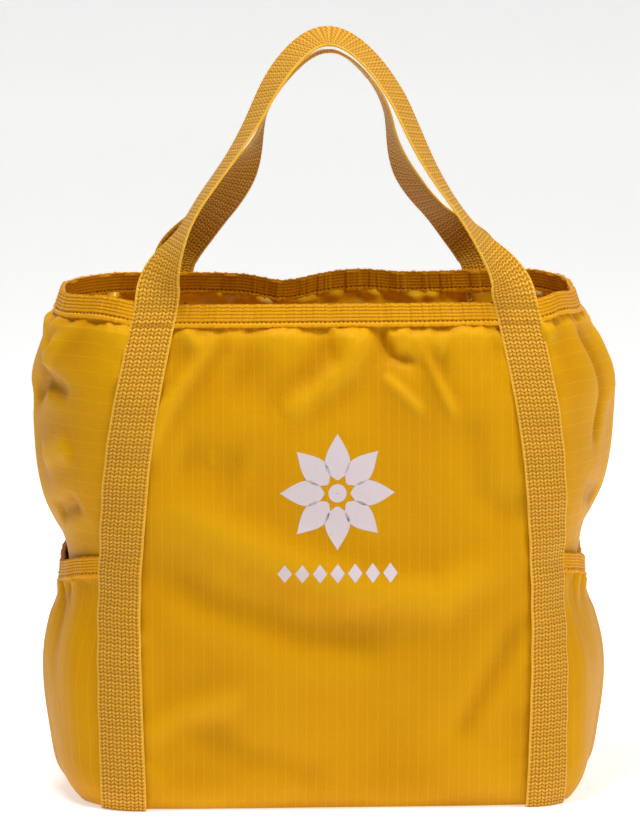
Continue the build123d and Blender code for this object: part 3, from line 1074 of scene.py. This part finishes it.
def pocket_grid(side, columns, z):
    """A gathered panel over the gusset, tucked under both straps, with a hanging top edge."""
    zone = SIDE_NAMES[side]
    across, level = np.meshgrid(np.linspace(0.0, 1.0, columns), z)
    hang = POCKET_HANG * np.cos(2 * math.pi * across) * ease(level / POCKET_Z)
    height = level + hang
    start, end = wall_run(zone, height)
    tuck = 11 * MM / (end - start)
    place = tuck + across * (1 - 2 * tuck)
    s = start + place * (end - start)
    smooth = around(height, s)
    normal = outward(smooth)
    u = np.clip(level / POCKET_Z, 0, 1)
    edge = np.minimum(across, 1 - across) * (end - start)
    swell = ease(edge / (26 * MM))
    bulge = 1.2 * MM + (0.6 * MM + 2.2 * MM * u + 4.6 * MM * np.sin(math.pi * u**0.85)) * swell
    middle = s - (start + end) / 2
    below = POCKET_Z - ELASTIC - level
    loose = swell * ease(level / (25 * MM))
    pleats = gathers(middle, below, 31 + side, 15 * MM, 34 * MM)
    fine = gathers(middle, below, 41 + side, 7 * MM, 10 * MM)
    under = ease((below + 1 * MM) / (5 * MM))
    turn = 1 if side < 0 else -1
    crease = 4.0 * MM * np.exp(-np.abs(middle * turn - 8 * MM) / (8 * MM)) * ease(below / (30 * MM))
    push = (5.5 * MM * pleats + 2.4 * MM * fine) * swell * under
    push = push + 2.2 * MM * under * ease(1 - below / (20 * MM)) * swell
    push = push + 2.2 * MM * slow_waves(s * 1.3, height * 1.3) * loose * under + crease * loose
    push = np.maximum(push, -0.75 * (bulge - 0.9 * MM))
    points = smooth + normal * (bulge + push)[..., None]
    return points, np.stack([middle, level], -1), normal, push


def pocket(side):
    """A pocket's cloth and its elastic, which move with the pocket's body."""
    name = SIDE_NAMES[side]
    z = 2.0 * MM + (POCKET_Z - 3.2 * MM) * np.linspace(0, 1, 150) ** 0.9
    points, flat, _, push = pocket_grid(side, 190, z)
    cloth = paint(sheet(f"{name}_pocket_cloth", points, flat, inner=INSIDE), PANEL, INSIDE)
    add_painted_fold_light(cloth, push)
    stand_in(cloth, f"{name}_pocket")
    top = POCKET_Z - 1.2 * MM

    def surface(down):
        level = top - down
        lines, _, normals, _ = pocket_grid(side, 430, np.array([level - MM, level, level + MM]))
        return lines[1] + normals[1] * 0.4 * MM, normals[1]

    run = length_along(surface(0.0)[0])
    band = binding(f"{name}_pocket_elastic_ribbed", surface, run, 80 + side, 11 * MM)
    stand_in(band, f"{name}_pocket_elastic")
    for piece in (cloth, band):
        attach(piece, f"{name}_pocket")
        flatten_to(piece)


pocket(-1)
pocket(1)


# Stitching


def thread_path(name, points, radius=0.28 * MM, sides=6):
    """A round thread along a line of points."""
    along = unit(np.gradient(points, axis=0))
    up = np.where(np.abs(along[:, 2:]) > 0.9, [[0, 1, 0]], [[0, 0, 1]])
    first = unit(np.cross(along, up))
    second = np.cross(along, first)
    angle = np.linspace(0, 2 * math.pi, sides, endpoint=False)
    ring = first[None] * np.cos(angle)[:, None, None] + second[None] * np.sin(angle)[:, None, None]
    grid = points[None] + ring * radius
    flat = np.zeros((sides, len(points), 2))
    flat[..., 0] = np.arange(len(points)) * radius
    return tube(name, grid, flat)


def join_pieces(objects, name):
    """One object from several."""
    with bpy.context.temp_override(
        active_object=objects[0], selected_editable_objects=objects, object=objects[0]
    ):
        bpy.ops.object.join()
    objects[0].name = name
    return objects[0]


def strap_surface(side, face, across, z, lift):
    """Points on a strap's outer face."""
    heights = np.array([z - MM, z, z + MM])
    base, normal = strap_base(side, face, heights, across)
    return base[:, 1] + normal[:, 1] * lift


def bar_tack(side, face):
    """A dense zigzag of thread across one strap at the rim."""
    stitches = 64
    across = np.linspace(-12.5 * MM, 12.5 * MM, stitches)
    lift = STRAP_LIFT + WEBBING_THICK + 0.2 * MM
    low = strap_surface(side, face, across, RIM_Z - 10.2 * MM, lift)
    high = strap_surface(side, face, across, RIM_Z - 7.8 * MM, lift)
    points = np.where((np.arange(stitches) % 2 == 0)[:, None], low, high)
    return thread_path(f"bar_tack_{face}_{side}", points, 0.26 * MM)


for face in ("front", "back"):
    tacks = join_pieces([bar_tack(side, face) for side in (-1, 1)], f"{face}_bar_tack_stitches")
    paint(tacks, THREAD)
    sew_to(tacks, face, f"{face}_bar_tacks")


# Print: an eight-petal rosette over a row of lozenges, lying on the front panel's folds

ROSETTE_Z = 225 * MM
LOZENGE_Z = 170 * MM


def on_front_panel(x, z, lift):
    """Points on the front panel's cloth at a place seen from the front."""
    start, end = wall_run("front", z)
    across = np.clip((x - start) / (end - start), 0, 1)
    column = across * (walls["front"].shape[1] - 1)
    row = np.interp(z, wall_z, np.arange(WALL_ROWS))
    i, j = np.floor(row).astype(int), np.floor(column).astype(int)
    i, j = np.clip(i, 0, WALL_ROWS - 2), np.clip(j, 0, walls["front"].shape[1] - 2)
    u, v = (row - i)[..., None], (column - j)[..., None]
    grid = walls["front"]
    low = grid[i, j] * (1 - v) + grid[i, j + 1] * v
    high = grid[i + 1, j] * (1 - v) + grid[i + 1, j + 1] * v
    points = low * (1 - u) + high * u
    points[..., 1] -= lift
    return points


def printed_patch(name, x, z):
    """One spot of ink, a thin sheet on the cloth."""
    points = on_front_panel(x, z, 0.12 * MM)
    return sheet(name, points, np.stack([x, z], -1), thick=0.05 * MM)


def petal(turn, inner, outer, width):
    """A rounded petal that points away from the rosette's middle."""
    along, across = np.meshgrid(np.linspace(0, 1, 34), np.linspace(-1, 1, 18), indexing="ij")
    half = width * np.sin(math.pi * np.clip(along, 0.012, 0.988) ** 0.72)
    radius = inner + (outer - inner) * along
    side = across * half
    x = radius * math.sin(turn) + side * math.cos(turn)
    z = ROSETTE_Z + radius * math.cos(turn) - side * math.sin(turn)
    return x, z


def printed_motif():
    """The whole print, as one piece."""
    patches = []
    for k in range(8):
        x, z = petal(2 * math.pi * k / 8, 9 * MM, 39 * MM, 8.6 * MM)
        patches.append(printed_patch(f"petal_{k}", x, z))
    radius, turn = np.meshgrid(np.linspace(0.4, 6.2, 8) * MM, np.linspace(0, 2 * math.pi, 40))
    x, z = radius * np.cos(turn), ROSETTE_Z + radius * np.sin(turn)
    patches.append(printed_patch("rosette_eye", x, z))
    for k in range(7):
        a, b = np.meshgrid(np.linspace(-1, 1, 14), np.linspace(-1, 1, 14))
        x = (k - 3) * 12 * MM + (a - b) * 2.5 * MM
        z = LOZENGE_Z + (a + b) * 3.4 * MM
        patches.append(printed_patch(f"lozenge_{k}", x, z))
    motif = join_pieces(patches, "printed_rosette_and_lozenges")
    return sew_to(paint(motif, INK), "front", "printed_motif")


printed_motif()


# Stow pouch and its zip, on the inside of the front panel

POUCH_LOW, POUCH_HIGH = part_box("stow_pouch")


def inside_sheet(name, low_z, high_z, half_width, depth, rows, columns, puff=0.0):
    """Cloth behind the front panel, seen from inside the bag."""
    x, z = np.meshgrid(np.linspace(half_width, -half_width, columns), np.linspace(low_z, high_z, rows))
    u = (x / half_width) ** 2
    v = ((z - low_z) / (high_z - low_z) * 2 - 1) ** 2
    swell = puff * (1 - u**3) * (1 - v**3)
    _, half_depth, _ = outline(z)
    y = -half_depth + depth + swell + 0.35 * MM * slow_waves(x * 3, z * 3) * (1 - u) * (1 - v)
    return sheet(name, np.stack([x, y, z], -1), np.stack([x, z], -1))


def pouch():
    """The pouch's cloth, up to the zip."""
    top = POUCH_HIGH[2] + 2.5 * MM  # the hem meets the zip's tape
    name, half_width = "stow_pouch_cloth", POUCH_HIGH[0]
    cloth = inside_sheet(name, POUCH_LOW[2], top, half_width, 2.9 * MM, 90, 110, 1.6 * MM)
    sew_to(paint(cloth, PANEL), "front", "stow_pouch")


pouch()


def zip_tape_piece():
    """Two strips of woven tape, with the teeth's gap between them."""
    strips = []
    for low, high in ((ZIP_LOW[2], ZIP_Z - 1.7 * MM), (ZIP_Z + 1.7 * MM, ZIP_HIGH[2])):
        x, z = np.meshgrid(np.linspace(ZIP_HIGH[0], ZIP_LOW[0], 160), np.linspace(low, high, 14))
        ripple = 0.08 * MM * np.sin(x * 260) * (np.abs(z - ZIP_Z) > 8 * MM)
        y = np.full(x.shape, ZIP_HIGH[1]) + ripple
        strips.append(sheet("tape", np.stack([x, y, z], -1), np.stack([z - low, x], -1), 0.5 * MM))
    tapes = join_pieces(strips, "zip_tapes_woven")
    sew_to(paint(tapes, TAPE), "front", "zip_tapes")


zip_tape_piece()


def zip_part(node, name, body, material):
    """A copy of one of the zip's CAD shapes, with rounded edges, that moves with its body."""
    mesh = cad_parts[node].data.copy()
    mesh.transform(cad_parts[node].matrix_world)
    piece = paint(link(name, mesh), material)
    bevel = piece.modifiers.new("rounded", "BEVEL")
    bevel.width = 0.15 * MM
    bevel.segments = 2
    bevel.limit_method = "ANGLE"
    stand_in(piece, node)
    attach(piece, body)
    flatten_to(piece)


zip_part("zip_teeth", "zip_teeth_moulded", "front_body", PLASTIC)
zip_part("zip_stops", "zip_stops_brass", "front_body", BRASS)
zip_part("zip_slider", "zip_slider_brass", "zip_slider", BRASS)
zip_part("zip_pull", "zip_pull_brass", "zip_pull", BRASS)


# Floor, light and camera


def backdrop():
    """A seamless sweep: floor, curve and wall."""
    turn = np.linspace(0, math.pi / 2, 24)
    radius, back = 1.6, 3.2
    y = np.concatenate([[-5.0], back + radius * np.sin(turn), [back + radius]])
    z = np.concatenate([[0.0], radius * (1 - np.cos(turn)), [6.0]]) - 0.2 * MM
    x = np.linspace(-7, 7, 4)
    grid = [np.broadcast_to(x, (len(y), 4)), *(np.repeat(v[:, None], 4, 1) for v in (y, z))]
    points = np.stack(grid, -1)
    sweep = new_object("backdrop", points, grid_faces(len(y), 4), points[..., :2])
    paint(sweep, floor_material())


backdrop()

world = bpy.data.worlds.new("studio")
bpy.context.scene.world = world
world.use_nodes = True
world.node_tree.nodes["Background"].inputs[0].default_value = (1.0, 1.0, 1.0, 1)
world.node_tree.nodes["Background"].inputs[1].default_value = 0.13
bpy.context.scene.view_settings.view_transform = "Standard"


def softbox(name, place, target, size, watts):
    """A rectangular lamp that faces its target."""
    light = bpy.data.lights.new(name, "AREA")
    light.shape = "RECTANGLE"
    light.size, light.size_y = size
    light.energy = watts
    obj = link(name, light)
    obj.location = place
    obj.rotation_euler = (Vector(target) - Vector(place)).to_track_quat("-Z", "Y").to_euler()


softbox("key", (1.25, -0.9, 1.5), (0, 0, 0.25), (0.5, 0.5), 17)
softbox("fill", (-1.2, -1.9, 0.9), (0, 0, 0.25), (0.9, 0.9), 2)
softbox("top", (-0.25, -0.35, 1.9), (0, 0, 0.2), (0.6, 0.5), 24)

AZIMUTH, ELEVATION, DISTANCE = -2.5, 11.5, 4.2
AIM = Vector((-0.0083, 0, 0.2608))
azimuth, elevation = math.radians(AZIMUTH), math.radians(ELEVATION)
level = math.cos(elevation)
toward = (math.sin(azimuth) * level, -math.cos(azimuth) * level, math.sin(elevation))
direction = Vector(toward)
camera = link("camera", bpy.data.cameras.new("camera"))
camera.location = AIM + direction * DISTANCE
camera.rotation_euler = (-direction).to_track_quat("-Z", "Y").to_euler()
camera.data.sensor_fit = "VERTICAL"
camera.data.angle = 2 * math.atan(0.5 * 836 * 0.69 * MM / DISTANCE)
bpy.context.scene.camera = camera
